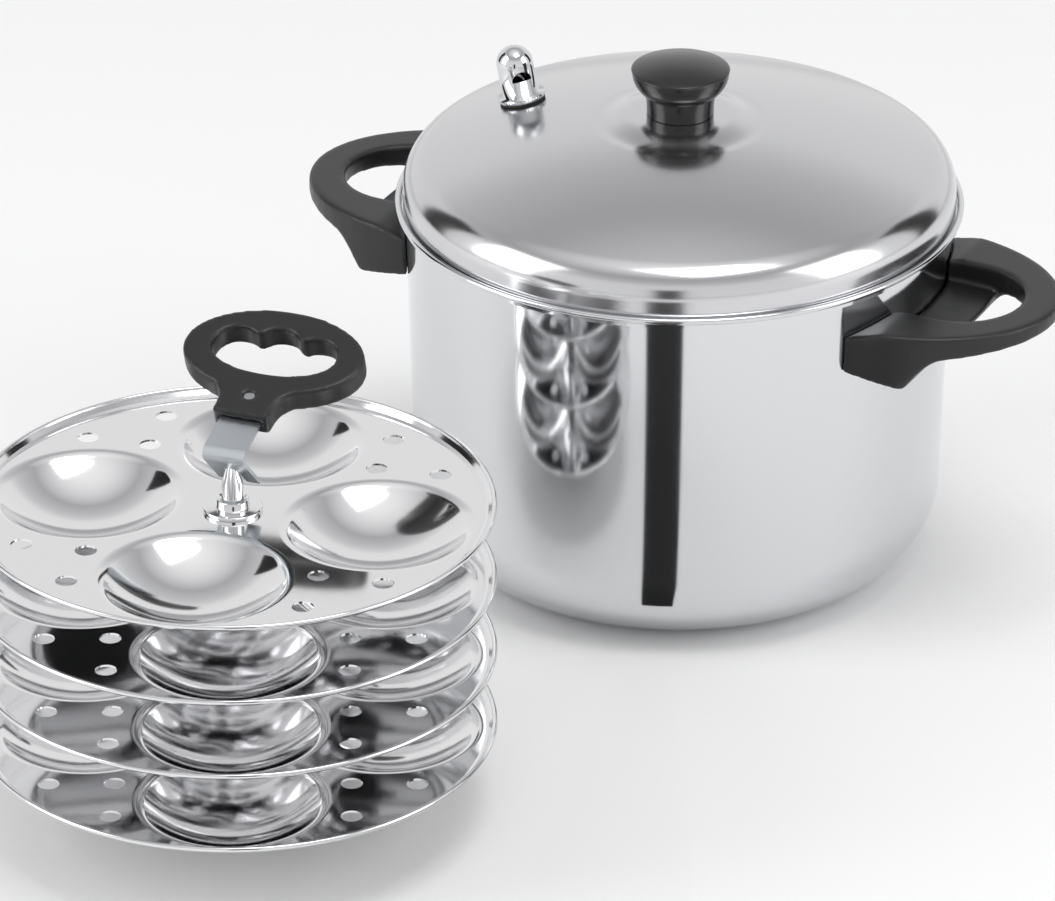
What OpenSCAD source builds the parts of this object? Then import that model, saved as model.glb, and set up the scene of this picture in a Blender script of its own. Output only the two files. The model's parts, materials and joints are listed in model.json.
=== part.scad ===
// Idli steamer: a steel pot with a domed lid and whistle, and the four-tier idli rack
// that goes inside it, stood beside the pot with its hooked lifter.
// Millimetres, +Z up. The origin is the centre of the pot's underside.
// The pot's handles lie along X and the rack stands on the -Y side.

/* [Pot] */
// Height of the pot from its underside to the top of the rim bead
pot_h = 148; // [130:1:180]
// Outer radius of the pot wall at the rim
pot_r = 106; // [100:1:125]
// How much smaller the wall's radius is at the base corner
pot_draft = 3; // [0:0.5:5]
// Outer radius of the rounded base corner
pot_corner_r = 32; // [20:1:40]
// Thickness of the pot's steel
pot_t = 1; // [0.8:0.1:1.6]
// Radius of the wire-like bead rolled round the rim
bead_r = 1.25; // [1.1:0.05:1.8]
// Width of the step in the rim that the lid rests on
seat_w = 2.6; // [2.2:0.1:4]
// Depth of that step below the top of the bead
seat_d = 3.1; // [2.6:0.1:6]

/* [Side handles] */
// How far a handle reaches out from the wall
handle_reach = 51.5; // [46:0.5:65]
// Half the width of a handle where it meets the wall
handle_half_w = 50; // [44:1:60]
// Depth of the handle's top face below the rim
handle_drop = 15; // [12:1:30]
// Depth of the handle at the outer edge of its block
handle_block_d = 22; // [19:0.5:26]
// Depth of the ring at its outer end
handle_tip_d = 6.5; // [5:0.5:10]
// Width of the ring's bar round the finger opening
handle_bar_w = 14; // [11:0.5:18]
// Half the width of the finger opening
finger_half_w = 25; // [20:1:30]
// Depth of the dished floor between the wall and the finger opening
dish_d = 9; // [6:0.5:11]
// Length of the finger opening along the handle
finger_l = 17.5; // [14:0.5:22]

/* [Handle fixing] */
// Thickness of the welded bracket
bracket_t = 2; // [1.5:0.1:2.5]
// Width of the bracket's plate on the wall
bracket_w = 32; // [24:1:40]
// Width of the bracket's tongue
tongue_w = 18; // [14:1:22]
// Length of the bracket's tongue from the wall
tongue_l = 14; // [12:0.5:16]
// Radius of the handle screw
handle_screw_r = 2.5; // [2:0.1:3]
// Radius of the handle screw's head
handle_head_r = 4.6; // [4:0.1:5.5]
// Thickness of the washers under the screws
washer_t = 1; // [0.8:0.1:1.5]

/* [Lid] */
// Thickness of the lid's steel
lid_t = 0.8; // [0.6:0.1:1.2]
// Gap between the lid's edge and the rim round it
lid_gap = 0.7; // [0.4:0.1:1.2]
// Height of the lid's upright edge
lid_edge_h = 8; // [5:0.5:14]
// Radius of the shoulder between the edge and the crown
lid_shoulder_r = 14; // [8:1:24]
// Radius of the broad crown
lid_crown_r = 300; // [240:5:400]
// Radius of the raised boss under the knob
boss_r = 34; // [28:1:42]
// Radius of the flat on top of the boss
boss_flat_r = 17; // [15:0.5:22]
// How far the boss rises above the crown
boss_h = 3; // [1:0.5:5]
// Depth of the skirt inside the pot's mouth
skirt_d = 6; // [4:0.5:10]
// Gap between the skirt and the pot's wall
skirt_gap = 0.7; // [0.4:0.1:1.5]

/* [Knob] */
// Radius of the knob's cap
knob_r = 19; // [16:0.5:24]
// Radius of the knob's neck at its foot
knob_neck_r = 12.9; // [10:0.1:15]
// Height of the neck
knob_neck_h = 8; // [6:0.5:12]
// Height of the whole knob
knob_h = 21.5; // [18:0.5:28]
// Radius of the knob screw
knob_screw_r = 2.5; // [2:0.1:3]
// Depth that the screw goes into the knob
knob_screw_l = 13; // [9:0.5:15]

/* [Whistle] */
// Distance of the whistle from the lid's centre
whistle_at = 68; // [50:1:80]
// Outer radius of the whistle's tube
whistle_r = 7.2; // [6:0.1:9]
// Wall of the tube
whistle_wall = 1; // [0.7:0.1:1.5]
// Height of the tube from its seal to its domed top
whistle_h = 21.5; // [18:0.5:28]
// Radius of the flange
flange_r = 9.1; // [8.5:0.1:12]
// Thickness of the flange
flange_t = 1.8; // [1.2:0.1:3]
// Radius of the half-round window
window_r = 3.9; // [2.5:0.1:4.5]
// Height of the window's flat edge above the seal
window_z = 8.4; // [7.5:0.1:10]
// Direction that the window faces
window_turn = -46; // [-180:1:180]
// Radius of the threaded stem through the lid
stem_r = 4; // [3:0.1:5]
// Radius of the steam way up the stem
steam_r = 2.2; // [1.5:0.1:2.6]
// Radius of the hole in the whistle's disc
disc_hole_r = 1.2; // [0.6:0.1:2]

/* [Rack] */
// Place of the rack beside the pot, to the side
rack_x = -52; // [-90:1:0]
// Place of the rack beside the pot, to the front
rack_y = -263; // [-320:1:-250]
// Radius of an idli plate
plate_r = 96; // [92:0.5:100]
// Thickness of the plates' steel
plate_t = 0.8; // [0.6:0.1:1.2]
// Height of the lowest plate's face above the floor
first_plate_z = 31; // [29:0.5:36]
// Distance from plate to plate
plate_pitch = 30; // [27:0.5:34]
// Rise of a plate's sloped rim
plate_rim_h = 2.6; // [1.5:0.1:4]
// Radius of the round edge on a plate's rim
plate_edge_r = 0.9; // [0.7:0.1:1.2]
// Direction of the cups on the three lower plates
lower_turn = 27; // [0:1:89]
// Direction of the cups on the top plate
top_turn = 14; // [0:1:89]

/* [Cups] */
// Radius of a cup at its mouth
cup_r = 36.5; // [33:0.1:37]
// Distance of a cup from the middle of the plate
cup_at = 54.5; // [53.5:0.1:55]
// Depth of a cup
cup_d = 12.5; // [9:0.5:14]
// Radius of the rounded shoulder at a cup's mouth
cup_lip_r = 7; // [4:0.5:10]
// Radius of a steam hole
steam_hole_r = 4; // [2.5:0.1:4.3]
// Distance of the inner steam hole from the middle
steam_in = 61; // [58:0.5:64]
// Distance of the two outer steam holes from the middle
steam_out = 80; // [76:0.5:82]
// Angle of the outer steam holes to either side
steam_fan = 12; // [8:0.5:13]

/* [Rod and foot] */
// Radius of the centre rod
rod_r = 4; // [3.5:0.1:5]
// Outer radius of the spacer tubes
spacer_r = 6; // [5.6:0.1:8]
// Radius of the foot at its bead
foot_r = 33.5; // [30:0.5:38]
// Height of the foot
foot_h = 15; // [12:0.5:16]
// Radius of the bead round the foot
foot_bead_r = 1.3; // [1:0.1:2]
// Radius of the vents in the foot's wall
foot_vent_r = 1.4; // [1:0.1:2]
// Radius of the top collar's flange
collar_r = 11; // [9:0.5:14]
// Height of the top collar
collar_h = 4.6; // [3:0.2:6]
// Height of the rod's straight part above the top plate
rod_above = 10.5; // [8:0.5:16]
// Height of the cone at the top of the rod
cone_h = 8; // [6:0.5:9]
// Radius of the neck between the cone and the head
neck_r = 1.9; // [1.5:0.1:2.2]
// Height of the neck
neck_h = 3; // [2.5:0.1:5]
// Thickness of the head
head_h = 3.4; // [2.5:0.1:5]

/* [Lifter] */
// Direction that the lifter's handle points
lifter_turn = 96; // [0:1:180]
// Thickness of the hook's strip
strip_t = 1.4; // [1:0.1:2]
// Width of the strip
strip_w = 16; // [14:0.5:20]
// Width of the fork's slot
slot_w = 6; // [5.4:0.1:7]
// Slope of the forked leg
fork_slope = 45; // [40:1:50]
// Slope of the leg in the handle, and of the handle
lifter_slope = 17; // [10:1:25]
// Half the width of the lifter's ring
ring_a = 35; // [30:0.5:42]
// Half the length of the ring along the handle
ring_b = 22; // [19:0.5:26]
// Half the width of the ring's opening
grip_a = 24; // [20:0.5:26]
// Half the length of the ring's opening
grip_b = 12; // [10:0.5:13]
// Thickness of the lifter's handle
ring_t = 9; // [7:0.5:12]
// Width of the handle's stub
stub_w = 22; // [19:0.5:26]
// Length of the stub in front of the ring's middle
stub_l = 34; // [30:0.5:40]

/* [Hidden] */
$fn = 72;

// Clearances and small hardware
fit = 0.1;         // running clearance on the rod, on the radius
face_gap = 0.05;   // gap between faces that bear on each other
wall_gap = 0.2;    // gap between a moulding and the steel it sits on
bolt_gap = 0.05;   // gap round a screw or stem in its own hole
head_h_screw = 2.6;
nut_r = 7.5;       // across corners, half, of an M8 nut
nut_h = 5;
seal_t = 1;
eps = 0.01;

// Heights and radii worked out from the sizes above
seat_z = pot_h - seat_d;
wall_mid_r = pot_r - pot_t / 2;
riser_mid_r = wall_mid_r + seat_w;
bead_mid_r = riser_mid_r + bead_r / 2;
handle_z = pot_h - handle_drop;

lid_edge_mid_r = riser_mid_r - pot_t / 2 - lid_gap - lid_t / 2;
skirt_mid_r = pot_r - pot_t - skirt_gap - lid_t / 2;
hem_z = seat_z + face_gap + lid_t / 2;
shoulder_z = seat_z + lid_edge_h;
shoulder_mid = lid_shoulder_r - lid_t / 2;
crown_mid = lid_crown_r - lid_t / 2;
crown_tilt = asin((lid_edge_mid_r - shoulder_mid) / (crown_mid - shoulder_mid));
crown_z = shoulder_z - (crown_mid - shoulder_mid) * cos(crown_tilt);
boss_z = crown_z + crown_mid * cos(asin(boss_r / crown_mid)) + boss_h;
boss_top_z = boss_z + lid_t / 2;
whistle_tilt = asin(whistle_at / lid_crown_r);

top_plate_z = first_plate_z + 3 * plate_pitch;
shoulder_rod_z = top_plate_z + rod_above;
neck_z = shoulder_rod_z + cone_h;
head_z = neck_z + neck_h;
cup_half = atan(cup_d / cup_r);
cup_arc = 2 * cup_half;
cup_sum_r = cup_r / sin(cup_arc);
cup_dish_r = cup_sum_r - cup_lip_r;

// The forked leg crosses the rod's axis where the cone is still wider than the neck
fork_z = shoulder_rod_z + cone_h * 0.7;
bend_r = strip_t / 2 + 1.9;
bend_x = -(rod_r + 1);
bend_z = fork_z - bend_x * tan(fork_slope) + bend_r / cos(fork_slope);
fork_end_x = 7;
leg_start = [bend_x - bend_r * sin(lifter_slope), bend_z + bend_r * cos(lifter_slope)];
stub_x = rod_r + 4.5;
stub_z = leg_start[1] + (stub_x - leg_start[0]) * tan(lifter_slope);
strip_in_stub = 17;

// Points of an arc about [x, z], from angle a to angle b in n steps
function arc(x, z, r, a, b, n = 8) = [for (i = [0:n]) let (t = a + (b - a) * i / n) [x + r * cos(t), z + r * sin(t)]];

// Points of an ellipse about [x, y] from angle a to angle b in n steps
function oval(x, y, rx, ry, a = 0, b = 360, n = 48) = [
    for (i = [0:(b - a == 360 ? n - 1 : n)]) let (t = a + (b - a) * i / n) [x + rx * cos(t), y + ry * sin(t)]];

// The outline of a sheet of thickness t whose middle follows a path
function unit(v) = v / norm(v);
function square_to(v) = [-v[1], v[0]];
function beside(p, i, s) = let (
    after = unit(p[min(i + 1, len(p) - 1)] - p[min(i, len(p) - 2)]),
    before = unit(p[max(i, 1)] - p[max(i - 1, 0)]),
    m = square_to(unit(before + after))) p[i] + m * s / (m * square_to(after));
function sheet(p, t) = concat(
    [for (i = [0:len(p) - 1]) beside(p, i, t / 2)],
    [for (i = [len(p) - 1:-1:0]) beside(p, i, -t / 2)]);

// A revolved sheet, with an optional round edge at [x, z]
module spun(path, t, edge = [0, 0], edge_r = 0) {
    rotate_extrude()
        polygon(sheet(path, t));
    if (edge_r > 0)
        rotate_extrude()
            translate(edge)
                circle(r = edge_r, $fn = 24);
}

// A round tube or washer standing at height z
module ring(r, bore, z, h) {
    translate([0, 0, z])
        difference() {
            cylinder(r = r, h = h);
            translate([0, 0, -eps])
                cylinder(r = bore, h = h + 2 * eps);
        }
}

// The pot's outer wall radius at a height, on its slight taper
function wall_r(z) = pot_r - pot_draft * (seat_z - z) / (seat_z - pot_corner_r);

// The pot: flat base, rounded corner, tapered wall, stepped seat and rolled bead
module pot_shell() {
    corner_mid = pot_corner_r - pot_t / 2;
    corner_x = pot_r - pot_draft - pot_corner_r;
    path = concat(
        [[0, pot_t / 2]],
        arc(corner_x, pot_corner_r, corner_mid, -90, 0, 10),
        [[wall_mid_r, seat_z - pot_t / 2],
         [riser_mid_r, seat_z - pot_t / 2],
         [riser_mid_r, pot_h - bead_r]]);
    color("gainsboro")
        spun(path, pot_t, [bead_mid_r, pot_h - bead_r], bead_r);
}

// Half-oval outline that starts at the wall: x outwards, y across
function d_outline(x0, reach, half_w) = concat(
    [[x0, half_w]],
    [for (p = oval(x0, 0, reach, half_w, 84, -84, 28)) p],
    [[x0, -half_w]]);

// The handle's side view: sloped land at the wall, flat top, deep block and thin ring
module handle_side() {
    tip = pot_r + handle_reach;
    block_x = pot_r + 10.5;
    ring_x = block_x + 14;
    ring_d = handle_tip_d + 3;
    under = [for (i = [0:7]) let (t = i / 7)
        [block_x + (ring_x - block_x) * t, -ring_d - (handle_block_d - ring_d) * (1 - sin(90 * t))]];
    points = concat(
        [[pot_r - 20, -5], [pot_r + 1.5, 0], [tip + 1, 0], [tip + 1, -handle_tip_d]],
        [for (i = [7:-1:0]) under[i]],
        [[block_x - 1.5, -handle_block_d - 0.5], [pot_r - 20, -handle_block_d + 5]]);
    polygon(points);
}

// The dished floor and the finger opening, in plan
module dish_plan() {
    far = pot_r + handle_reach - handle_bar_w;
    mid = pot_r + 12;
    polygon(concat([[pot_r - 22, finger_half_w]],
        oval(mid, 0, far - mid, finger_half_w, 90, -90, 24),
        [[pot_r - 22, -finger_half_w]]));
}

// Room for the bracket, its tongue and the screw
module fixing_room() {
    tongue_z = handle_z - dish_d - 7;
    screw_x = pot_r + tongue_l / 2 + 1;
    translate([pot_r - 20, -bracket_w / 2 - wall_gap, tongue_z - 3 - wall_gap])
        cube([20 + bracket_t + 2 * wall_gap, bracket_w + 2 * wall_gap, 8 + 2 * wall_gap]);
    translate([pot_r, -tongue_w / 2 - wall_gap, tongue_z - wall_gap])
        cube([tongue_l + wall_gap, tongue_w + 2 * wall_gap, bracket_t + 2 * wall_gap]);
    translate([screw_x, 0, tongue_z - 10])
        cylinder(r = handle_screw_r + bolt_gap, h = 10 + bracket_t + 4.5);
    translate([screw_x, 0, tongue_z - 22])
        cylinder(r = handle_head_r + 0.5, h = 20);
}

// A moulded side handle, reaching out along +X
module handle() {
    difference() {
        intersection() {
            translate([0, 0, handle_z - 40])
                linear_extrude(60)
                    polygon(d_outline(pot_r - 13, handle_reach + 13, handle_half_w));
            translate([0, handle_half_w + 5, handle_z])
                rotate([90, 0, 0])
                    linear_extrude(2 * handle_half_w + 10)
                        handle_side();
        }
        translate([0, 0, handle_z - 60])
            cylinder(r1 = wall_r(handle_z - 60) + wall_gap, r2 = wall_r(handle_z + 10) + wall_gap, h = 70);
        translate([0, 0, handle_z - dish_d])
            linear_extrude(dish_d + 10)
                dish_plan();
        translate([0, 0, handle_z - 40])
            linear_extrude(60)
                difference() {
                    dish_plan();
                    circle(r = pot_r + handle_reach - handle_bar_w - finger_l, $fn = 96);
                }
        fixing_room();
    }
}

// The welded bracket: a plate curved to the wall and a tongue for the screw
module bracket() {
    tongue_z = handle_z - dish_d - 7;
    low = wall_r(tongue_z - 3);
    high = wall_r(tongue_z + 5);
    difference() {
        union() {
            intersection() {
                translate([0, 0, tongue_z - 3])
                    cylinder(r1 = low + bracket_t, r2 = high + bracket_t, h = 8);
                translate([pot_r - 20, -bracket_w / 2, tongue_z - 3])
                    cube([40, bracket_w, 8]);
            }
            translate([pot_r - 5, -tongue_w / 2, tongue_z])
                cube([5 + tongue_l, tongue_w, bracket_t]);
        }
        translate([0, 0, tongue_z - 3 - 1])
            cylinder(r1 = wall_r(tongue_z - 4) + face_gap, r2 = wall_r(tongue_z + 6) + face_gap, h = 10);
        translate([pot_r + tongue_l / 2 + 1, 0, tongue_z - 1])
            cylinder(r = handle_screw_r + bolt_gap, h = bracket_t + 2);
    }
}

module handle_screw() {
    tongue_z = handle_z - dish_d - 7;
    seat = tongue_z - 2 - washer_t;
    translate([pot_r + tongue_l / 2 + 1, 0, seat - head_h_screw]) {
        cylinder(r = handle_head_r, h = head_h_screw);
        cylinder(r = handle_screw_r, h = head_h_screw + washer_t + 2 + bracket_t + 4);
    }
}

module screw_washer() {
    tongue_z = handle_z - dish_d - 7;
    translate([pot_r + tongue_l / 2 + 1, 0, 0])
        ring(handle_head_r + 0.2, handle_screw_r + bolt_gap, tongue_z - 2 - washer_t, washer_t);
}

// The lid: flat on the boss, slope, crown, shoulder, upright edge, turned-in hem and skirt
module lid_sheet() {
    crown_end = asin(boss_r / crown_mid);
    path = concat(
        [[knob_screw_r + 0.2, boss_z], [boss_flat_r, boss_z]],
        arc(0, crown_z, crown_mid, 90 - crown_end, 90 - crown_tilt, 12),
        [for (p = arc(lid_edge_mid_r - shoulder_mid, shoulder_z, shoulder_mid, 90 - crown_tilt - 8, 0, 8)) p],
        [[lid_edge_mid_r, hem_z], [skirt_mid_r, hem_z], [skirt_mid_r, seat_z - skirt_d]]);
    spun(path, lid_t);
}

// Places things on the lid's crown, standing square to it
module on_crown() {
    translate([-whistle_at, 0, crown_z + lid_crown_r * cos(whistle_tilt)])
        rotate([0, -whistle_tilt, 0])
            children();
}

module lid_shell() {
    color("silver")
        difference() {
            lid_sheet();
            on_crown()
                translate([0, 0, -6])
                    cylinder(r = stem_r + 0.15, h = 12);
        }
}

// The knob: waisted neck, flared underside, thin edge and low dome
module lid_knob() {
    edge_h = 1;
    crown_h = 3;
    flare_h = knob_h - knob_neck_h - edge_h - crown_h;
    top_r = (knob_r * knob_r + crown_h * crown_h) / (2 * crown_h);
    top_a = asin(knob_r / top_r);
    flare = [for (i = [0:6]) let (t = i / 6)
        [knob_neck_r + 0.6 + (knob_r - knob_neck_r - 0.9) * sin(90 * t), knob_neck_h + flare_h * t * (0.6 + 0.4 * t)]];
    dome = arc(0, knob_h - top_r, top_r, 90 - top_a, 90, 8);
    color("dimgray")
        translate([0, 0, boss_top_z])
            difference() {
                rotate_extrude()
                    polygon(concat([[0, 0], [knob_neck_r, 0], [knob_neck_r + 0.1, knob_neck_h / 2]], flare,
                        [[knob_r, knob_neck_h + flare_h + 0.3]], dome));
                translate([0, 0, -eps])
                    cylinder(r = knob_screw_r + bolt_gap, h = knob_screw_l + 1);
            }
}

module knob_screw() {
    under = boss_z - lid_t / 2 - washer_t;
    color("lightgray")
        translate([0, 0, under]) {
            translate([0, 0, -head_h_screw])
                cylinder(r = handle_head_r, h = head_h_screw);
            cylinder(r = knob_screw_r, h = washer_t + lid_t + knob_screw_l);
        }
}

module knob_washer() {
    color("lightgray")
        ring(7, knob_screw_r + bolt_gap, boss_z - lid_t / 2 - washer_t, washer_t);
}

// The whistle's tube: flange, domed tube with a half-round window, and threaded stem
module whistle_tube() {
    inner_r = whistle_r - whistle_wall;
    dome_z = seal_t + whistle_h - whistle_r;
    cavity_z = seal_t + 4;
    color("gainsboro")
        on_crown()
            difference() {
                union() {
                    translate([0, 0, -9])
                        cylinder(r = stem_r, h = 9 + seal_t + flange_t);
                    translate([0, 0, seal_t])
                        cylinder(r = flange_r, h = flange_t);
                    translate([0, 0, seal_t])
                        cylinder(r = whistle_r, h = dome_z - seal_t);
                    translate([0, 0, dome_z])
                        sphere(r = whistle_r);
                }
                translate([0, 0, -10])
                    cylinder(r = steam_r, h = 12 + cavity_z);
                translate([0, 0, cavity_z])
                    cylinder(r = inner_r, h = dome_z - cavity_z);
                translate([0, 0, dome_z])
                    sphere(r = inner_r);
                rotate([0, 0, window_turn])
                    translate([0, 0, seal_t + window_z])
                        rotate([90, 0, 90])
                            linear_extrude(whistle_r + 1)
                                intersection() {
                                    circle(r = window_r);
                                    translate([-window_r, 0])
                                        square([2 * window_r, window_r + 1]);
                                }
            }
}

// The disc pressed in just under the window, with the hole that makes the sound
module whistle_disc() {
    color("lightgray")
        on_crown()
            ring(whistle_r - whistle_wall - bolt_gap, disc_hole_r, seal_t + window_z - 1.2, 1);
}

module whistle_seal() {
    color("darkslategray")
        on_crown()
            ring(flange_r - 0.2, stem_r + bolt_gap, 0, seal_t);
}

module whistle_nut() {
    sag = nut_r * nut_r / (2 * (lid_crown_r - lid_t));
    color("lightgray")
        on_crown()
            translate([0, 0, -lid_t - sag - 0.05 - nut_h])
                difference() {
                    cylinder(r = nut_r, h = nut_h, $fn = 6);
                    translate([0, 0, -1])
                        cylinder(r = stem_r + bolt_gap, h = nut_h + 2);
                }
}

module at_rack() {
    translate([rack_x, rack_y, 0])
        children();
}

// The foot: a shallow inverted cup with a bead that stands on the floor
module rack_foot() {
    bead_mid = foot_r - foot_bead_r;
    corner = 5;
    top_x = bead_mid - 2.2 - corner;
    path = concat(
        [[rod_r + fit, foot_h - plate_t / 2]],
        arc(top_x, foot_h - plate_t / 2 - corner, corner, 90, 12, 5),
        [[bead_mid - 0.3, 2.2 * foot_bead_r], [bead_mid, foot_bead_r]]);
    color("gainsboro")
        at_rack()
            difference() {
                spun(path, plate_t, [bead_mid, foot_bead_r], foot_bead_r);
                for (a = [0:90:270])
                    rotate([0, 0, a - 33])
                        translate([foot_r - 8, 0, foot_h * 0.45])
                            rotate([0, 90, 0])
                                cylinder(r = foot_vent_r, h = 10);
            }
}

// The centre rod: straight rod, cone, neck and button head
module centre_rod() {
    foot_end = foot_h - plate_t - washer_t - nut_h - 2;
    color("gainsboro")
        at_rack()
            rotate_extrude()
                polygon([
                    [0, foot_end], [rod_r - 0.6, foot_end], [rod_r, foot_end + 0.6],
                    [rod_r, shoulder_rod_z], [neck_r, neck_z], [neck_r, head_z],
                    [rod_r, head_z], [rod_r, head_z + head_h * 0.5],
                    [rod_r * 0.75, head_z + head_h * 0.88], [0, head_z + head_h]]);
}

module base_washer() {
    color("lightgray")
        at_rack()
            ring(8, rod_r + bolt_gap, foot_h - plate_t - washer_t, washer_t);
}

module base_nut() {
    color("lightgray")
        at_rack()
            translate([0, 0, foot_h - plate_t - washer_t - nut_h])
                difference() {
                    cylinder(r = nut_r, h = nut_h, $fn = 6);
                    translate([0, 0, -1])
                        cylinder(r = rod_r + bolt_gap, h = nut_h + 2);
                }
}

// A spacer tube between two heights
module spacer(low, high) {
    color("lightgray")
        at_rack()
            ring(spacer_r, rod_r + bolt_gap, low + face_gap, high - low - 2 * face_gap);
}

module plate_spacer(i) {
    spacer(first_plate_z + (3 - i) * plate_pitch, first_plate_z + (4 - i) * plate_pitch - plate_t);
}

// The flanged collar that holds the stack down, dished round the rod at its top
module top_collar() {
    color("gainsboro")
        at_rack()
            translate([0, 0, top_plate_z + face_gap])
                difference() {
                    union() {
                        cylinder(r = collar_r, h = 1.6);
                        cylinder(r = spacer_r, h = collar_h);
                    }
                    translate([0, 0, -1])
                        cylinder(r = rod_r + bolt_gap, h = collar_h + 2);
                    translate([0, 0, collar_h - 1.2])
                        cylinder(r1 = rod_r, r2 = spacer_r - 0.5, h = 1.3);
                }
}

// A cup, hung from the plate's face: rounded lip and round dish
module cup() {
    mid = -plate_t / 2;
    lip = arc(cup_r, mid - cup_lip_r, cup_lip_r, 90, 90 + cup_arc, 4);
    dish = arc(0, mid - cup_d + cup_dish_r, cup_dish_r, -90 + cup_arc * 7 / 8, -88, 7);
    bottom = dish[len(dish) - 1][1];
    spun(concat([[cup_r + 0.5, mid]], lip, dish, [[0, bottom]]), plate_t);
}

// An idli plate: flat face, four cups, steam holes and a sloped rim with a round edge
module plate(z, turn) {
    flat_r = cup_at + cup_r + 0.8;
    rim = [plate_r - plate_edge_r, plate_rim_h - plate_t / 2];
    path = [[rod_r + fit, -plate_t / 2], [flat_r, -plate_t / 2],
        [flat_r + (rim[0] - flat_r) * 0.4, plate_rim_h * 0.25 - plate_t / 2], rim];
    color("gainsboro")
        at_rack()
            translate([0, 0, z])
                rotate([0, 0, turn]) {
                    difference() {
                        spun(path, plate_t, rim, plate_edge_r);
                        for (a = [0:90:270])
                            rotate([0, 0, a]) {
                                translate([cup_at, 0, -2])
                                    cylinder(r = cup_r, h = 4);
                                rotate([0, 0, 45])
                                    steam_holes();
                            }
                    }
                    for (a = [0:90:270])
                        rotate([0, 0, a])
                            translate([cup_at, 0, 0])
                                cup();
                }
}

module steam_holes() {
    for (p = [[steam_in, 0], [steam_out, steam_fan], [steam_out, -steam_fan]])
        rotate([0, 0, p[1]])
            translate([p[0], 0, -2])
                cylinder(r = steam_hole_r, h = 4, $fn = 32);
}

// Places the lifter on the rod, with its handle pointing along +X
module at_lifter() {
    at_rack()
        rotate([0, 0, lifter_turn])
            children();
}

// The handle's own frame: along the upper leg, from where the stub starts
module at_stub() {
    at_lifter()
        translate([stub_x, 0, stub_z])
            rotate([0, -lifter_slope, 0])
                children();
}

// The hook: one bent strip, forked at its lower end
module lifter_hook() {
    fork_end = [fork_end_x, fork_z - fork_end_x * tan(fork_slope)];
    leg_end = [stub_x, stub_z] + strip_in_stub * [cos(lifter_slope), sin(lifter_slope)];
    path = concat(
        [fork_end],
        arc(bend_x, bend_z, bend_r, 270 - fork_slope, 90 + lifter_slope, 10),
        [leg_end]);
    slot_back = -(slot_w / 2 + 0.2);
    color("lightsteelblue")
        at_lifter()
            difference() {
                translate([0, strip_w / 2, 0])
                    rotate([90, 0, 0])
                        linear_extrude(strip_w)
                            polygon(sheet(path, strip_t));
                translate([0, 0, fork_z - 20])
                    linear_extrude(30 - (head_z - fork_z) / 2) {
                        translate([0, -slot_w / 2])
                            square([20, slot_w]);
                        circle(r = slot_w / 2, $fn = 32);
                    }
                translate([stub_x, 0, stub_z])
                    rotate([0, -lifter_slope, 0])
                        translate([rivet_s, 0, -5])
                            cylinder(r = rivet_r + bolt_gap, h = 10);
            }
}

rivet_s = 10;
rivet_r = 2;

// The ring in plan: x along the handle from the stub's start, y across
module ring_plan() {
    difference() {
        union() {
            polygon(oval(stub_l, 0, ring_b, ring_a));
            translate([0, -stub_w / 2])
                square([stub_l - grip_b, stub_w]);
            difference() {
                translate([5, -20])
                    square([15, 40]);
                for (s = [-1, 1])
                    translate([5, s * (stub_w / 2 + 12)])
                        circle(r = 12);
            }
        }
        grip_plan();
    }
}

// The opening: a plain oval towards the stub and three finger scallops at the far bar
module grip_plan() {
    scallop = grip_a / 3;
    polygon(oval(stub_l, 0, grip_b, grip_a, 90, 270, 24));
    polygon([for (p = oval(stub_l, 0, grip_b * 0.72, grip_a, -90, 90, 24)) p]);
    for (s = [-1, 0, 1])
        translate([stub_l + grip_b - scallop - (s == 0 ? 0 : 2.2), s * 1.95 * scallop])
            circle(r = scallop * 1.04, $fn = 40);
}

module lifter_handle() {
    color("dimgray")
        at_stub()
            difference() {
                translate([0, 0, -ring_t / 2])
                    linear_extrude(ring_t)
                        ring_plan();
                translate([-1, -strip_w / 2 - wall_gap, -strip_t / 2 - wall_gap])
                    cube([strip_in_stub + 1 + wall_gap, strip_w + 2 * wall_gap, strip_t + 2 * wall_gap]);
                translate([rivet_s, 0, -ring_t])
                    cylinder(r = rivet_r + bolt_gap, h = 2 * ring_t);
            }
}

module lifter_rivet() {
    color("lightgray")
        at_stub()
            translate([rivet_s, 0, -ring_t / 2 - 1]) {
                cylinder(r = rivet_r, h = ring_t);
                cylinder(r = 3.6, h = 1);
            }
}

pot_shell();
color("#2b2b2b") rotate([0, 0, 180]) handle();  // left_handle
color("#2b2b2b") handle();  // right_handle
color("lightgray") rotate([0, 0, 180]) bracket();  // left_bracket
color("lightgray") bracket();  // right_bracket
color("lightgray") rotate([0, 0, 180]) handle_screw();  // left_handle_screw
color("lightgray") handle_screw();  // right_handle_screw
color("lightgray") rotate([0, 0, 180]) screw_washer();  // left_screw_washer
color("lightgray") screw_washer();  // right_screw_washer
lid_shell();
lid_knob();
knob_screw();
knob_washer();
whistle_tube();
whistle_disc();
whistle_seal();
whistle_nut();
rack_foot();
centre_rod();
base_nut();
base_washer();
spacer(foot_h, first_plate_z - plate_t);  // foot_spacer
plate_spacer(1);  // plate_spacer_1
plate_spacer(2);  // plate_spacer_2
plate_spacer(3);  // plate_spacer_3
top_collar();
plate(top_plate_z, top_turn);  // idli_plate_1
plate(first_plate_z + 2 * plate_pitch, lower_turn);  // idli_plate_2
plate(first_plate_z + plate_pitch, lower_turn);  // idli_plate_3
plate(first_plate_z, lower_turn);  // idli_plate_4
lifter_hook();
lifter_handle();
lifter_rivet();
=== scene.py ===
# %% [markdown]
# # Idli steamer beside its rack
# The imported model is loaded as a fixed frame. The round steel pieces are made again here as fine
# revolved surfaces, and every surface gets a procedural material. Blender's lengths are in metres.
# The model's sizes are given in millimetres and turned into metres by MM.

# %% Load the frame
import json
import math

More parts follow.
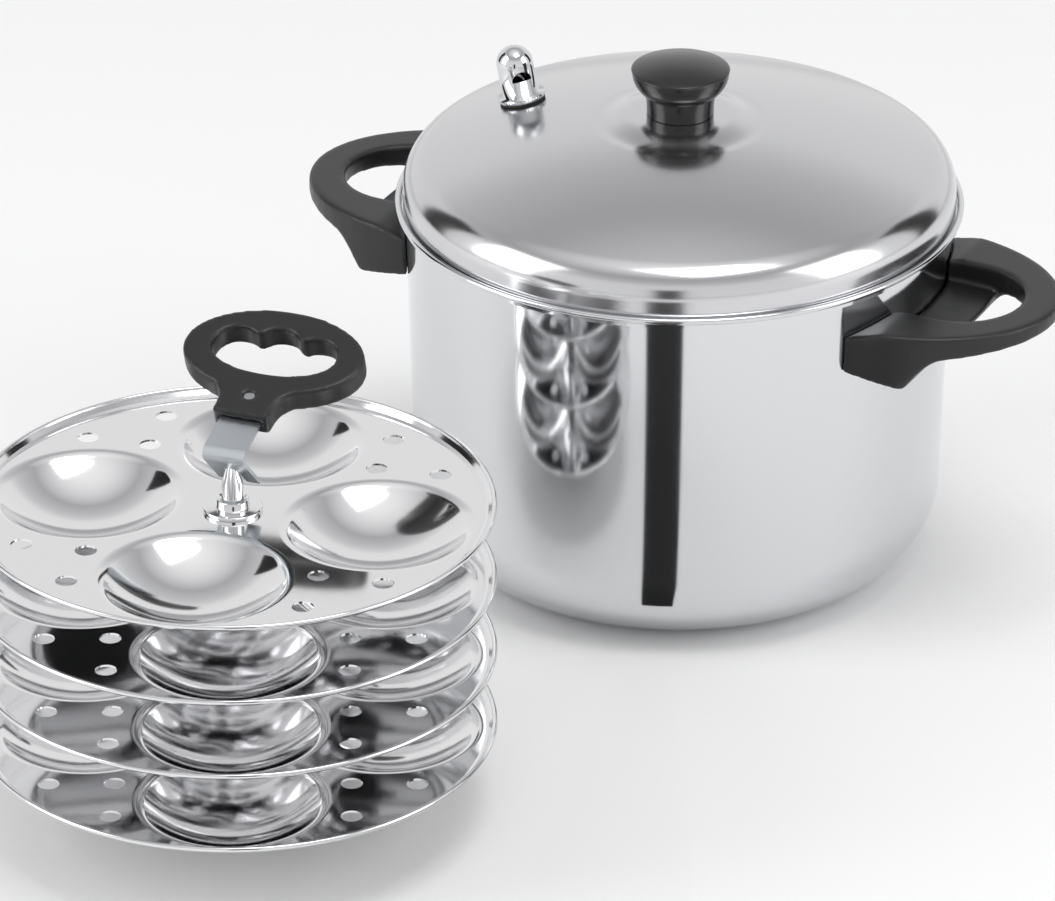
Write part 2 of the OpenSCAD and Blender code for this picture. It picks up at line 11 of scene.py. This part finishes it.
import bmesh
import bpy
import numpy as np
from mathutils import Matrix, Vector


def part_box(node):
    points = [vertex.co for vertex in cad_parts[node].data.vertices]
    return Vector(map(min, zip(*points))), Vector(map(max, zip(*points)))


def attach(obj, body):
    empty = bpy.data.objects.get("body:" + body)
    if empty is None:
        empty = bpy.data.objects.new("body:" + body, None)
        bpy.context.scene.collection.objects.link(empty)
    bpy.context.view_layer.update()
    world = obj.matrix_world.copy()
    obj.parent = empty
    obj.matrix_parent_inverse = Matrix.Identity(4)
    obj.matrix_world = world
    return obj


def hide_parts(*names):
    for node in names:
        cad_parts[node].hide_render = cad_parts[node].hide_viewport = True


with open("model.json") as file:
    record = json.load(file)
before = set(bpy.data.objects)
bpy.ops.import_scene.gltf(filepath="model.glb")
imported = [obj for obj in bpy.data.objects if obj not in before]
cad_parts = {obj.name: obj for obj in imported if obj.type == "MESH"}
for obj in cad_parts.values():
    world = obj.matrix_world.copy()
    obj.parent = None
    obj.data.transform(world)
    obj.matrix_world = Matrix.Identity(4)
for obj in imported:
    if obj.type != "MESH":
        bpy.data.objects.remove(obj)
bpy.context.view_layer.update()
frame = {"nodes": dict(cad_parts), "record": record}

# %% [markdown]
# ## Sizes
# These repeat the model's own sizes in millimetres, so that each surface lies on the node it stands
# for. R is a radius, H a height, D a depth, W a width and T a sheet's thickness.

# %% Sizes
MM = 0.001

# Pot: height over the bead, outside under the seat, taper of the wall, base corner and sheet
POT_H, POT_R, POT_DRAFT, CORNER_R, POT_T = 148.0, 106.0, 3.0, 32.0, 1.0
BEAD_R = 1.25
# The step that the lid rests on
SEAT_W, SEAT_D = 2.6, 3.1

# Lid: sheet, upright edge, shoulder and crown
LID_T, EDGE_H, SHOULDER_R, CROWN_R = 0.8, 8.0, 14.0, 300.0
# Raised boss under the knob: foot of its slope, flat top, and rise
BOSS_R, BOSS_FLAT_R, BOSS_H = 34.0, 17.0, 3.0
# Skirt inside the pot's mouth, below the seat
SKIRT_D = 6.0
# Clear of the pot: round the edge, round the skirt, and under the hem
LID_GAP, SKIRT_GAP, SEAT_GAP = 0.7, 0.7, 0.05
# How much wider the knob's hole in the lid is than its screw
LID_HOLE_GAP = 0.2

# Knob: widest radius and full height, neck, dome on top and upright edge
KNOB_R, KNOB_H = 19.0, 21.5
NECK_R, NECK_H = 12.9, 8.0
KNOB_DOME_H, KNOB_EDGE_H = 3.0, 1.0
SCREW_R, SCREW_HOLE_D = 2.5, 14.0

# Between a bore and its rod or screw, and between two faces that meet
BORE_GAP, FACE_GAP = 0.05, 0.05

# Rack: rod, spacers, and the plates' heights and spacing
ROD_R, ROD_EDGE, SPACER_R = 4.0, 0.6, 6.0
PLATE_T, FIRST_Z, PITCH, PLATES = 0.8, 31.0, 30.0, 4
# Top of the rod: straight part over the plates, cone, neck and button head
ROD_ABOVE, CONE_H = 10.5, 8.0
NECK_ROD_R, NECK_ROD_H = 1.9, 3.0
HEAD_H, HEAD_ROUND = 3.4, 1.7
# Collar: flange, whole height, and the dish round the rod at its top
COLLAR_R, COLLAR_H, FLANGE_H, COLLAR_DISH = 11.0, 4.6, 1.6, 1.2

# Idli plates: mouth of a cup, its place, depth and rounded lip, and the two settings of the cups
CUP_R, CUP_AT, CUP_D, CUP_LIP_R = 36.5, 54.5, 12.5, 7.0
CUPS, TOP_TURN, LOWER_TURN = 4, 14.0, 27.0
# Raised rim, and where its slope starts
PLATE_R, RIM_H, RIM_EDGE_R = 96.0, 2.6, 0.9
RIM_IN, RIM_OUT = CUP_AT + CUP_R + 0.8, PLATE_R - RIM_EDGE_R

# Roundings of turned and moulded edges
TINY_R, SMALL_R, EDGE_R, FILLET_R = 0.2, 0.3, 0.5, 0.6

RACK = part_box("centre_rod")
RACK_X = (RACK[0][0] + RACK[1][0]) / 2
RACK_Y = (RACK[0][1] + RACK[1][1]) / 2

SEAT_Z = POT_H - SEAT_D
TOP_Z = FIRST_Z + (PLATES - 1) * PITCH
BORE_R = ROD_R + BORE_GAP
# Middles of the sheets: the pot's wall and riser, and the bead's own middle
WALL_MID = POT_R - POT_T / 2
RISER_MID = WALL_MID + SEAT_W
BEAD_MID = RISER_MID + BEAD_R / 2

# %% [markdown]
# ## Surface functions
# A piece is a closed outline in the plane of radius and height, turned about an upright axis.

# %% Surface functions
TURN_STEPS = 240
# Where a surface turns by more than this many degrees, its edge is drawn sharp
SHARP_ANGLE = 32


def arc(cx, cz, r, a, b, n=24):
    """Points of a circle about (cx, cz), a to b degrees round it: (cx + r cos t, cz + r sin t)."""
    t = np.radians(np.linspace(a, b, n + 1))
    return np.column_stack([cx + r * np.cos(t), cz + r * np.sin(t)])


def circle(cx, cz, r, n):
    """A whole circle as a closed loop of n points."""
    return arc(cx, cz, r, 0, 360, n)[:-1]


def beside(path, d):
    """The path moved sideways by d, with mitred corners: p + d m / (m . n), m the mean normal."""
    seg = np.diff(path, axis=0)
    seg /= np.linalg.norm(seg, axis=1)[:, None]
    normal = np.column_stack([-seg[:, 1], seg[:, 0]])
    first = np.vstack([normal[:1], normal])
    last = np.vstack([normal, normal[-1:]])
    mean = first + last
    mean /= np.linalg.norm(mean, axis=1)[:, None]
    return path + d * mean / np.sum(mean * last, axis=1)[:, None]


def sheet_loop(path, t):
    """The closed outline of a sheet of thickness t whose middle follows the path."""
    path = np.asarray(path, float)
    return np.vstack([beside(path, t / 2), beside(path, -t / 2)[::-1]])


def link(bm, name):
    """An object from an edit mesh, smooth except where it turns sharply."""
    mesh = bpy.data.meshes.new(name)
    bm.to_mesh(mesh)
    bm.free()
    piece = bpy.data.objects.new(name, mesh)
    bpy.context.scene.collection.objects.link(piece)
    mesh.polygons.foreach_set("use_smooth", [True] * len(mesh.polygons))
    mesh.set_sharp_from_angle(angle=math.radians(SHARP_ANGLE))
    return piece


def revolve(name, loops, x=0.0, y=0.0, steps=TURN_STEPS):
    """Turns closed loops of (radius, height) in mm about the upright axis at (x, y) in metres:
    each point becomes (x + r cos a, y + r sin a, z)."""
    bm = bmesh.new()
    angles = np.linspace(0, 2 * math.pi, steps, endpoint=False)
    for loop in loops:
        loop = np.asarray(loop, float) * MM
        rows = [[bm.verts.new((x + r * math.cos(a), y + r * math.sin(a), z)) for r, z in loop]
                for a in angles]
        for i in range(steps):
            here, after = rows[i], rows[(i + 1) % steps]
            for j in range(len(loop)):
                k = (j + 1) % len(loop)
                bm.faces.new((here[j], after[j], after[k], here[k]))
    bmesh.ops.remove_doubles(bm, verts=bm.verts, dist=1e-7)
    bmesh.ops.dissolve_degenerate(bm, edges=bm.edges, dist=1e-7)
    bmesh.ops.recalc_face_normals(bm, faces=bm.faces)
    return link(bm, name)


def copy_welded(node, drop=None):
    """The node's mesh with its split edges joined, less the faces that drop(face) picks."""
    bm = bmesh.new()
    bm.from_mesh(frame["nodes"][node].data)
    bmesh.ops.remove_doubles(bm, verts=bm.verts, dist=2e-6)
    bm.normal_update()
    if drop:
        bmesh.ops.delete(bm, geom=[f for f in bm.faces if drop(f)], context="FACES")
    return bm


# %% [markdown]
# ## Materials
# Each starts from the real material's typical values, and its pattern reads Object coordinates.

# %% Materials
NOISE_DETAIL, RELIEF_DEPTH = 3.0, 0.0002
# sRGB's own curve: the straight part's end and slope, and the curve's offset and power
SRGB_END, SRGB_SLOPE, SRGB_OFFSET, SRGB_POWER = 0.04045, 12.92, 0.055, 2.4


def linear(hex_colour):
    """An sRGB hex colour as linear RGBA."""
    c = np.array([int(hex_colour[i:i + 2], 16) / 255 for i in (1, 3, 5)])
    curve = ((c + SRGB_OFFSET) / (1 + SRGB_OFFSET)) ** SRGB_POWER
    return (*np.where(c <= SRGB_END, c / SRGB_SLOPE, curve), 1.0)


def add(tree, kind, values=()):
    """Adds a node and sets its input sockets."""
    made = tree.nodes.new(kind)
    for key, value in values:
        made.inputs[key].default_value = value
    return made


def material(name, colour, rough, grain, metallic=0.0, stretch=(1, 1, 1), rough_spread=0.04,
             bump=0.02, coat=0.0):
    """A surface whose roughness and height vary with a noise of the given grain, in metres."""
    made = bpy.data.materials.new(name)
    made.use_nodes = True
    tree = made.node_tree
    shader = tree.nodes["Principled BSDF"]
    shader.inputs["Base Color"].default_value = linear(colour)
    shader.inputs["Metallic"].default_value = metallic
    shader.inputs["Coat Weight"].default_value = coat
    place = add(tree, "ShaderNodeTexCoord")
    mapping = add(tree, "ShaderNodeMapping", [("Scale", stretch)])
    noise = add(tree, "ShaderNodeTexNoise", [("Scale", 1 / grain), ("Detail", NOISE_DETAIL)])
    spread = add(tree, "ShaderNodeMapRange",
                 [("To Min", rough - rough_spread), ("To Max", rough + rough_spread)])
    relief = add(tree, "ShaderNodeBump", [("Strength", bump), ("Distance", RELIEF_DEPTH)])
    tree.links.new(place.outputs["Object"], mapping.inputs["Vector"])
    tree.links.new(mapping.outputs["Vector"], noise.inputs["Vector"])
    tree.links.new(noise.outputs["Fac"], spread.inputs["Value"])
    tree.links.new(spread.outputs["Result"], shader.inputs["Roughness"])
    tree.links.new(noise.outputs["Fac"], relief.inputs["Height"])
    tree.links.new(relief.outputs["Normal"], shader.inputs["Normal"])
    return made


def plain(name, colour, rough):
    """A matt surface of one colour, for what stands round the object."""
    made = bpy.data.materials.new(name)
    made.use_nodes = True
    shader = made.node_tree.nodes["Principled BSDF"]
    shader.inputs["Base Color"].default_value = linear(colour)
    shader.inputs["Roughness"].default_value = rough
    return made


# Stainless steel 304, buffed: sharp, slightly soft reflections, and faint upright drawing marks
pot_steel = material("stainless_304_buffed", "#DADBDD", 0.08, 0.004, metallic=1.0,
                     stretch=(1, 1, 0.15), rough_spread=0.02, bump=0.001)
# The lid is a little duller
lid_steel = material("stainless_304_satin_lid", "#D2D2D4", 0.17, 0.003, metallic=1.0,
                     rough_spread=0.02, bump=0.003)
# Idli plates are mirror polished
plate_steel = material("stainless_304_mirror", "#E8E8E9", 0.09, 0.006, metallic=1.0,
                       rough_spread=0.02, bump=0.001)
# The hook is cut strip with a brushed grain
hook_steel = material("stainless_strip_brushed", "#C3C8CC", 0.3, 0.0006, metallic=1.0,
                      stretch=(0.1, 1, 1), rough_spread=0.06, bump=0.05)
# Plain bright zinc-plated fasteners
fastener = material("steel_fastener_plated", "#BDBEBF", 0.26, 0.002, metallic=1.0)
# Phenolic (bakelite), compression moulded: near black, satin, with a very fine grain
bakelite = material("phenolic_moulded_satin", "#171718", 0.38, 0.0008, rough_spread=0.05,
                    bump=0.06)
# The knob is the same phenolic from a better polished mould
bakelite_gloss = material("phenolic_moulded_gloss", "#131314", 0.24, 0.001, rough_spread=0.03,
                          bump=0.03, coat=0.2)
# Nitrile rubber seal
rubber = material("nitrile_rubber", "#1A1A1A", 0.7, 0.001, bump=0.1)

BY_SLOT = {
    "pot_steel": pot_steel, "lid_steel": lid_steel, "plate_steel": plate_steel,
    "rack_steel": plate_steel, "hook_steel": hook_steel, "whistle_steel": pot_steel,
    "bracket_steel": fastener, "fastener_steel": fastener, "handle_plastic": bakelite,
    "knob_plastic": bakelite_gloss, "seal_rubber": rubber}

# %% [markdown]
# ## Frame nodes
# A node that isn't made again keeps its own mesh and takes the material of its slot.

# %% Frame nodes
slot_of = {part["node"]: part["material_slot"] for part in frame["record"]["subparts"]}
for node, piece in frame["nodes"].items():
    piece.data.materials.clear()
    piece.data.materials.append(BY_SLOT[slot_of[node]])


def finish_piece(piece, node, body):
    """Gives a new piece its material and body, in place of the node."""
    piece.data.materials.append(BY_SLOT[slot_of[node]])
    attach(piece, body)
    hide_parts(node)


# %% [markdown]
# ## Pot
# Flat base, rounded corner, tapered wall, the step that the lid rests on, and the rolled bead.

# %% Pot
corner_x = POT_R - POT_DRAFT - CORNER_R
seat_mid = SEAT_Z - POT_T / 2
bead_z = POT_H - BEAD_R
pot_path = np.vstack([
    [[0, POT_T / 2]],
    arc(corner_x, CORNER_R, CORNER_R - POT_T / 2, -90, 0, n=32),
    [[WALL_MID, seat_mid], [RISER_MID, seat_mid], [RISER_MID, bead_z]]])
bead = circle(BEAD_MID, bead_z, BEAD_R, n=28)
finish_piece(revolve("pot_body", [sheet_loop(pot_path, POT_T), bead]), "pot_shell", "pot")

# %% [markdown]
# ## Lid
# Boss with a soft slope, broad crown, rounded shoulder, upright edge, turned-in hem and skirt.
# The shoulder is tangent to the crown, which meets it at an angle of tilt from the upright:
# sin tilt = (edge - shoulder) / (crown - shoulder), all measured to the middle of the sheet.

# %% Lid
edge_mid = RISER_MID - POT_T / 2 - LID_GAP - LID_T / 2
skirt_mid = POT_R - POT_T - SKIRT_GAP - LID_T / 2
hem_z = SEAT_Z + SEAT_GAP + LID_T / 2
shoulder_z = SEAT_Z + EDGE_H
shoulder_mid = SHOULDER_R - LID_T / 2
crown_mid = CROWN_R - LID_T / 2
tilt = math.degrees(math.asin((edge_mid - shoulder_mid) / (crown_mid - shoulder_mid)))
crown_z = shoulder_z - (crown_mid - shoulder_mid) * math.cos(math.radians(tilt))
boss_end = math.degrees(math.asin(BOSS_R / crown_mid))
boss_z = crown_z + crown_mid * math.cos(math.radians(boss_end)) + BOSS_H
# The slope s - sin(2 pi s) / (2 pi) starts and ends level
slope = np.linspace(0, 1, 13)[:-1]
slope_r = BOSS_FLAT_R + (BOSS_R - BOSS_FLAT_R) * slope
slope_z = boss_z - BOSS_H * (slope - np.sin(2 * math.pi * slope) / (2 * math.pi))
# The shoulder's first point lies this many degrees past the crown's last one
PAST_CROWN = 2
lid_path = np.vstack([
    [[SCREW_R + LID_HOLE_GAP, boss_z]],
    np.column_stack([slope_r, slope_z]),
    arc(0, crown_z, crown_mid, 90 - boss_end, 90 - tilt, n=40),
    arc(edge_mid - shoulder_mid, shoulder_z, shoulder_mid, 90 - PAST_CROWN - tilt, 0),
    [[edge_mid, hem_z], [skirt_mid, hem_z], [skirt_mid, SEAT_Z - SKIRT_D]]])
finish_piece(revolve("lid_dome", [sheet_loop(lid_path, LID_T)]), "lid_shell", "lid")

# %% [markdown]
# ## Knob
# Waisted neck, flared underside, thin edge and low dome, as one moulded piece.

# %% Knob
# How much wider the neck is at half its height
NECK_SWELL = 0.1
# The flare starts this far outside the neck, and ends a small rounding short of the edge
FLARE_STEP = 0.6
# Its height is h t (FLARE_RISE + (1 - FLARE_RISE) t), so it is steepest near the edge
FLARE_RISE = 0.6
# The dome's first point lies this many degrees in from the edge
PAST_EDGE = 1

flare_h = KNOB_H - NECK_H - KNOB_EDGE_H - KNOB_DOME_H
along = np.linspace(0, 1, 17)
flare = np.column_stack([
    NECK_R + FLARE_STEP + (KNOB_R - NECK_R - FLARE_STEP - SMALL_R) * np.sin(along * math.pi / 2),
    NECK_H + flare_h * along * (FLARE_RISE + (1 - FLARE_RISE) * along)])
dome_r = (KNOB_R ** 2 + KNOB_DOME_H ** 2) / (2 * KNOB_DOME_H)
dome_end = math.degrees(math.asin(KNOB_R / dome_r))
knob_loop = np.vstack([
    [[SCREW_R + BORE_GAP, 0], [NECK_R - SMALL_R, 0], [NECK_R, SMALL_R]],
    [[NECK_R + NECK_SWELL, NECK_H / 2]],
    flare,
    arc(KNOB_R - EDGE_R, NECK_H + flare_h + EDGE_R, EDGE_R, -30, 60, n=6),
    arc(0, KNOB_H - dome_r, dome_r, 90 - dome_end + PAST_EDGE, 90),
    [[0, SCREW_HOLE_D], [SCREW_R + BORE_GAP, SCREW_HOLE_D]]])
knob_loop[:, 1] += boss_z + LID_T / 2
finish_piece(revolve("knob_moulding", [knob_loop]), "lid_knob", "lid")

# %% [markdown]
# ## Rod, spacers and collar
# Plain turned and drawn pieces about the rack's axis.

# %% Rod, spacers and collar
RACK_STEPS = 128


def at_rack(name, loop, node):
    """A revolved piece on the rack's axis, in place of a node."""
    finish_piece(revolve(name, [loop], RACK_X, RACK_Y, RACK_STEPS), node, "rack")


rod_low = RACK[0][2] / MM
cone_z = TOP_Z + ROD_ABOVE
neck_z = cone_z + CONE_H
head_z = neck_z + NECK_ROD_H
at_rack("rod_turned", np.vstack([
    [[0, rod_low], [ROD_R - ROD_EDGE, rod_low], [ROD_R, rod_low + ROD_EDGE], [ROD_R, cone_z],
     [NECK_ROD_R, neck_z], [NECK_ROD_R, head_z]],
    [[ROD_R - SMALL_R, head_z]],
    arc(ROD_R - EDGE_R, head_z + EDGE_R, EDGE_R, -90, 0, n=5),
    arc(ROD_R - HEAD_ROUND, head_z + HEAD_H - HEAD_ROUND, HEAD_ROUND, 0, 90, n=10),
    [[0, head_z + HEAD_H]]]), "centre_rod")
for node in ("foot_spacer", "plate_spacer_1", "plate_spacer_2", "plate_spacer_3"):
    low, high = (corner[2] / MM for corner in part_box(node))
    at_rack(node + "_tube", [
        [BORE_R, low], [SPACER_R - TINY_R, low], [SPACER_R, low + TINY_R],
        [SPACER_R, high - TINY_R], [SPACER_R - TINY_R, high], [BORE_R, high]], node)
low = TOP_Z + FACE_GAP
flange_top, collar_top = low + FLANGE_H, low + COLLAR_H
at_rack("collar_turned", np.vstack([
    [[BORE_R, low], [COLLAR_R - TINY_R, low]],
    arc(COLLAR_R - EDGE_R, flange_top - EDGE_R, EDGE_R, 0, 90, n=6),
    arc(SPACER_R + FILLET_R, flange_top + FILLET_R, FILLET_R, 270, 180, n=6),
    [[SPACER_R, collar_top - TINY_R], [SPACER_R - TINY_R, collar_top],
     [SPACER_R - EDGE_R, collar_top], [BORE_R, collar_top - COLLAR_DISH]]]), "top_collar")

# %% [markdown]
# ## Idli plates
# The flat sheet with its steam holes keeps the node's own mesh. Each cup is a fine revolved sheet,
# a lip arc that meets the flat and a dish arc, tangent to each other, and so is the sloped rim.

# %% Idli plates
CUP_STEPS, RIM_STEPS = 144, 288
# How much of the dish's arc is drawn, so that its first point isn't the lip's last one
DISH_SHARE = 0.98
# The sloped rim starts this far inside RIM_IN, and bends at this share of its width and height
RIM_LAP, RIM_BEND_AT, RIM_BEND_H = 0.09, 0.4, 0.25
# A face of the node is on the rim past RIM_IN and the first gap, and also past RIM_IN less the
# second gap where it isn't level. A cup's mouth is read with the third gap to spare.
RIM_PAST, RIM_BEFORE, CUP_SPARE = 0.2, 0.12, 0.02
LEVEL = 0.99

cup_angle = 2 * math.degrees(math.atan(CUP_D / CUP_R))
dish_r = CUP_R / math.sin(math.radians(cup_angle)) - CUP_LIP_R


def in_rim(face):
    """Whether a plate's face is on the sloped rim."""
    centre = face.calc_center_median()
    reach = math.hypot(centre.x - RACK_X, centre.y - RACK_Y) / MM
    return reach > RIM_IN + RIM_PAST or (reach > RIM_IN - RIM_BEFORE and abs(face.normal.z) < LEVEL)


def in_cup(face, middles):
    """Whether a plate's face lies wholly inside one cup's mouth."""
    reach = (CUP_R + CUP_SPARE) * MM
    return any(all(math.hypot(v.co.x - x, v.co.y - y) < reach for v in face.verts)
               for x, y in middles)


def take_in(bm, name, loops, x, y, steps):
    """Adds a revolved piece to an edit mesh."""
    piece = revolve(name, loops, x, y, steps)
    bm.from_mesh(piece.data)
    bpy.data.objects.remove(piece)


for i in range(PLATES):
    node = f"idli_plate_{i + 1}"
    mid = TOP_Z - i * PITCH - PLATE_T / 2
    turns = [math.radians((TOP_TURN if i == 0 else LOWER_TURN) + 360 / CUPS * k)
             for k in range(CUPS)]
    middles = [(RACK_X + CUP_AT * MM * math.cos(a), RACK_Y + CUP_AT * MM * math.sin(a))
               for a in turns]
    bm = copy_welded(node, lambda face: in_rim(face) or in_cup(face, middles))

    cup_path = np.vstack([
        arc(CUP_R, mid - CUP_LIP_R, CUP_LIP_R, 90, 90 + cup_angle, n=12),
        arc(0, mid - CUP_D + dish_r, dish_r, -90 + cup_angle * DISH_SHARE, -90, n=40)[:-1],
        [[0, mid - CUP_D]]])
    # The last two points are level, so that the cup is smooth at its middle
    cup_path[-2:, 1] = cup_path[-1, 1]
    for x, y in middles:
        take_in(bm, "cup", [sheet_loop(cup_path, PLATE_T)], x, y, CUP_STEPS)

    rim_path = np.array([
        [RIM_IN - RIM_LAP, 0], [RIM_IN, 0],
        [RIM_IN + RIM_BEND_AT * (RIM_OUT - RIM_IN), RIM_BEND_H * RIM_H], [RIM_OUT, RIM_H]])
    rim_path[:, 1] += mid
    rim_edge = circle(RIM_OUT, mid + RIM_H, RIM_EDGE_R, n=20)
    take_in(bm, "rim", [sheet_loop(rim_path, PLATE_T), rim_edge], RACK_X, RACK_Y, RIM_STEPS)
    finish_piece(link(bm, f"plate_pressed_{i + 1}"), node, f"plate_{i + 1}")

# %% [markdown]
# ## Other steel pieces
# The foot, the whistle and the hook keep their node's form, with joined edges for smooth shading.

# %% Other steel pieces
for node, name, body in (("rack_foot", "foot_pressed", "rack"),
                         ("whistle_tube", "whistle_turned", "lid"),
                         ("lifter_hook", "hook_bent", "lifter")):
    finish_piece(link(copy_welded(node), name), node, body)

# %% [markdown]
# ## Mouldings
# The phenolic mouldings have rounded edges. Each is resampled finely and relaxed, which rounds
# every edge by about two millimetres and keeps its faces where they are.

# %% Mouldings
VOXEL = 0.0006
RELAX_SHARE, RELAX_TIMES = 0.5, 36
for node, name, body in (("left_handle", "left_moulding", "pot"),
                         ("right_handle", "right_moulding", "pot"),
                         ("lifter_handle", "lifter_moulding", "lifter")):
    piece = link(copy_welded(node), name)
    grid = piece.modifiers.new("even_faces", "REMESH")
    grid.mode, grid.voxel_size, grid.use_smooth_shade = "VOXEL", VOXEL, True
    relax = piece.modifiers.new("rounded_edges", "SMOOTH")
    relax.factor, relax.iterations = RELAX_SHARE, RELAX_TIMES
    finish_piece(piece, node, body)

# %% [markdown]
# ## Floor and backdrop
# A plain pale floor that runs to a pale background.

# %% Floor
FLOOR_SIZE, FLOOR_Z = 8.0, -0.0002
bpy.ops.mesh.primitive_plane_add(size=FLOOR_SIZE, location=(0, 0, FLOOR_Z))
floor = bpy.context.object
floor.name = "floor"
floor.data.materials.append(plain("studio_paper", "#EEEEEE", 0.85))

# %% [markdown]
# ## Camera
# The photograph is a composite of two views, so one camera between the two is used: a long lens,
# 27 degrees above the floor. The pot's place in the picture sets where it points.

# %% Camera
PHOTO_W, PHOTO_H = 1055, 901
ELEVATION, AZIMUTH, DISTANCE = math.radians(27), math.radians(117), 3.0
# Scale at the pot, and the photograph's pixel that the middle of its underside falls on
PX_PER_M = 2530.0
POT_PX, POT_PY = 676, 535
SENSOR = 36

forward = Vector((math.cos(ELEVATION) * math.cos(AZIMUTH),
                  math.cos(ELEVATION) * math.sin(AZIMUTH), -math.sin(ELEVATION)))
level = Vector((forward.x, forward.y, 0)).normalized()
right = Vector((math.sin(AZIMUTH), -math.cos(AZIMUTH), 0))
up = right.cross(forward)
aim = right * (PHOTO_W / 2 - POT_PX) / PX_PER_M + up * (POT_PY - PHOTO_H / 2) / PX_PER_M
camera_data = bpy.data.cameras.new("camera")
camera_data.lens = SENSOR * PX_PER_M * DISTANCE / PHOTO_W
camera_data.sensor_width = SENSOR
camera = bpy.data.objects.new("camera", camera_data)
camera.location = aim - forward * DISTANCE
camera.rotation_euler = forward.to_track_quat("-Z", "Y").to_euler()
bpy.context.scene.collection.objects.link(camera)
bpy.context.scene.camera = camera

# %% [markdown]
# ## Light
# Two tall soft boxes, one overhead, and dark cards that give the polished steel its dark bands.
# Angles go round the object from the camera's right towards the camera, in degrees.

# %% Light
LIT_POINT = (0, -0.1, 0.08)
black = plain("black_card", "#080808", 0.9)


def around(angle):
    """The level direction at an angle round the object."""
    return right * math.cos(math.radians(angle)) - level * math.sin(math.radians(angle))


def stand(piece, angle, height, distance):
    """Puts a light or card at an angle round the object, turned to face it."""
    piece.location = around(angle) * distance + Vector((0, 0, height))
    piece.rotation_euler = (Vector(LIT_POINT) - piece.location).to_track_quat("-Z", "Y").to_euler()


def only_reflected(piece):
    """Hides a piece from everything but reflections."""
    piece.visible_camera = piece.visible_shadow = piece.visible_diffuse = False


def soft_box(name, angle, height, distance, width, tall, watts):
    """A rectangular area light."""
    data = bpy.data.lights.new(name, "AREA")
    data.shape = "RECTANGLE"
    data.size, data.size_y, data.energy = width, tall, watts
    lamp = bpy.data.objects.new(name, data)
    stand(lamp, angle, height, distance)
    bpy.context.scene.collection.objects.link(lamp)


def dark_card(name, angle, height, distance, width, tall):
    """A black card for the steel to reflect."""
    bpy.ops.mesh.primitive_plane_add(size=1)
    card = bpy.context.object
    card.name = name
    card.scale = (width, tall, 1)
    stand(card, angle, height, distance)
    card.data.materials.append(black)
    only_reflected(card)


soft_box("left_soft_box", 165, 0.9, 1.7, 0.9, 1.5, 11)
soft_box("right_soft_box", 20, 0.9, 1.7, 0.9, 1.5, 10)
soft_box("top_soft_box", 60, 2.0, 0.5, 0.9, 0.8, 10)
dark_card("front_card", 95, 0.25, 1.1, 0.2, 0.5)
dark_card("left_card", 205, 0.5, 1.6, 0.5, 1.6)
dark_card("right_card", -25, 0.5, 1.6, 0.5, 1.6)

# A narrow black strip lies on the floor in front of the pot, seen only in the steel: the pot's wall
# reflects the floor, so this gives its dark upright band. It widens outwards as the round wall's
# view of the floor does: STRIP_W at the wall, and STRIP_SPREAD of the distance from it.
STRIP_ANGLE, STRIP_NEAR, STRIP_FAR, STRIP_W, STRIP_SPREAD = 96, 0.112, 0.6, 0.014, 0.27
STRIP_Z = 0.0004
outward = around(STRIP_ANGLE)
across = Vector((-outward.y, outward.x, 0))
corners = []
for reach, side in ((STRIP_NEAR, -1), (STRIP_FAR, -1), (STRIP_FAR, 1), (STRIP_NEAR, 1)):
    half = (STRIP_W + STRIP_SPREAD * (reach - POT_R * MM)) / 2
    corners.append(outward * reach + across * side * half + Vector((0, 0, STRIP_Z)))
strip_mesh = bpy.data.meshes.new("floor_strip")
strip_mesh.from_pydata([tuple(c) for c in corners], [], [(0, 1, 2, 3)])
strip = bpy.data.objects.new("floor_strip", strip_mesh)
bpy.context.scene.collection.objects.link(strip)
strip.data.materials.append(black)
only_reflected(strip)

# %% [markdown]
# ## World
# The room is white round the horizon and greyer overhead. The camera sees an even pale background.

# %% World
ROOM = ((0.0, "#F6F6F6"), (0.5, "#F0F0F0"), (0.62, "#D2D2D3"), (0.8, "#B4B4B6"), (1.0, "#A6A6A8"))
world = bpy.data.worlds.new("studio")
world.use_nodes = True
bpy.context.scene.world = world
tree = world.node_tree
sky = tree.nodes["Background"]
sky.inputs["Strength"].default_value = 1.0
direction = add(tree, "ShaderNodeTexCoord")
split = add(tree, "ShaderNodeSeparateXYZ")
fade = add(tree, "ShaderNodeValToRGB")
for place, colour in ROOM:
    stop = fade.color_ramp.elements.new(place)
    stop.color = linear(colour)
# The ramp's own first and last stops go, and leave the room's
fade.color_ramp.elements.remove(fade.color_ramp.elements[0])
fade.color_ramp.elements.remove(fade.color_ramp.elements[-1])
tree.links.new(direction.outputs["Generated"], split.inputs[0])
tree.links.new(split.outputs["Z"], fade.inputs[0])
tree.links.new(fade.outputs["Color"], sky.inputs["Color"])
seen = add(tree, "ShaderNodeBackground", [("Color", linear("#EFEFEF")), ("Strength", 1.0)])
path = add(tree, "ShaderNodeLightPath")
mix = add(tree, "ShaderNodeMixShader")
tree.links.new(path.outputs["Is Camera Ray"], mix.inputs[0])
tree.links.new(sky.outputs[0], mix.inputs[1])
tree.links.new(seen.outputs[0], mix.inputs[2])
tree.links.new(mix.outputs[0], tree.nodes["World Output"].inputs[0])
bpy.context.scene.view_settings.view_transform = "Standard"
